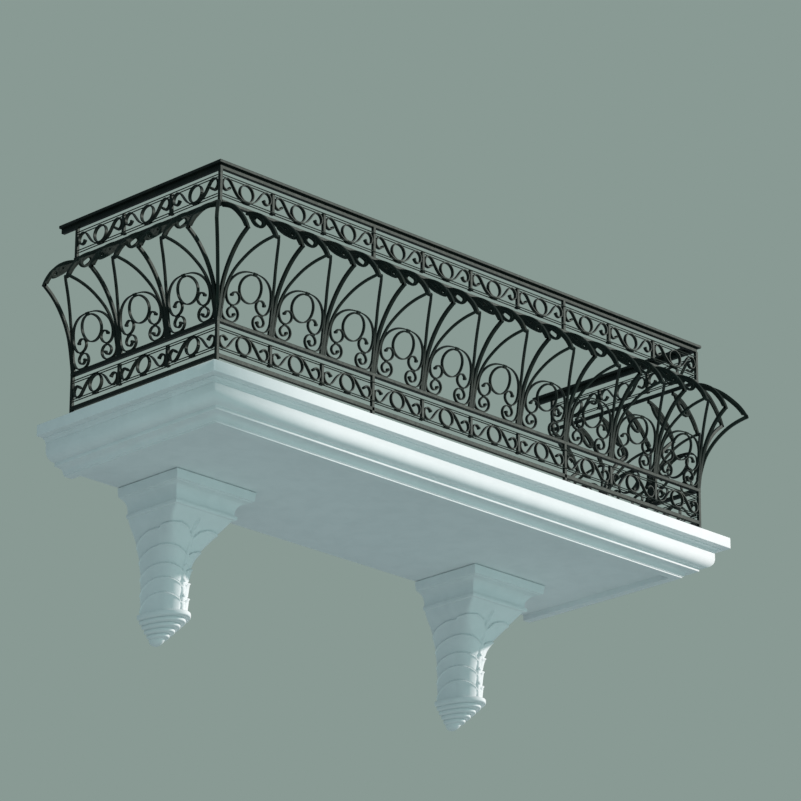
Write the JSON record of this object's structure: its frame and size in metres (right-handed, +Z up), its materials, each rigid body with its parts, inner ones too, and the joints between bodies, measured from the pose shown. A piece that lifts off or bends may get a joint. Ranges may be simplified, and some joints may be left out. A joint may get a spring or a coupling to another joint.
{
  "type": "projecting balcony with bellied wrought iron railing",
  "caption": "Shallow slab balcony on carved scroll corbels, with a moulded edge and a three-sided wrought iron railing whose middle bellies outwards",
  "frame": {"origin": "middle of the slab's rear face, on the wall plane", "axes": "+X along the front, to the right as seen from outside; +Y into the wall; +Z up"},
  "size_m": [3.568, 1.292, 1.884],
  "materials": {
    "iron": "weathered black paint, satin",
    "render": "painted smooth render, matt",
    "corbel_stone": "painted carved stone, matt"
  },
  "bodies": {
    "root": {"belly_front_a": "iron", "belly_front_b": "iron", "belly_front_c": "iron", "belly_left": "iron", "belly_right": "iron", "corbel_body_left": "corbel_stone", "corbel_body_right": "corbel_stone", "corbel_cap_left": "corbel_stone", "corbel_cap_right": "corbel_stone", "corbel_finial_left": "corbel_stone", "corbel_finial_right": "corbel_stone", "corner_ribs_left": "iron", "corner_ribs_right": "iron", "handrail_front": "iron", "handrail_left": "iron", "handrail_right": "iron", "lower_frieze_front_a": "iron", "lower_frieze_front_b": "iron", "lower_frieze_front_c": "iron", "lower_frieze_left": "iron", "lower_frieze_right": "iron", "lower_post_corner_left": "iron", "lower_post_corner_right": "iron", "lower_post_end_left": "iron", "lower_post_end_right": "iron", "mid_rail_front": "iron", "mid_rail_left": "iron", "mid_rail_right": "iron", "moulding_front": "render", "moulding_left": "render", "moulding_right": "render", "slab_core": "render", "slab_top": "render", "upper_frieze_front_a": "iron", "upper_frieze_front_b": "iron", "upper_frieze_front_c": "iron", "upper_frieze_left": "iron", "upper_frieze_right": "iron", "upper_post_corner_left": "iron", "upper_post_corner_right": "iron", "upper_post_end_left": "iron", "upper_post_end_right": "iron"}
  },
  "joints": []
}
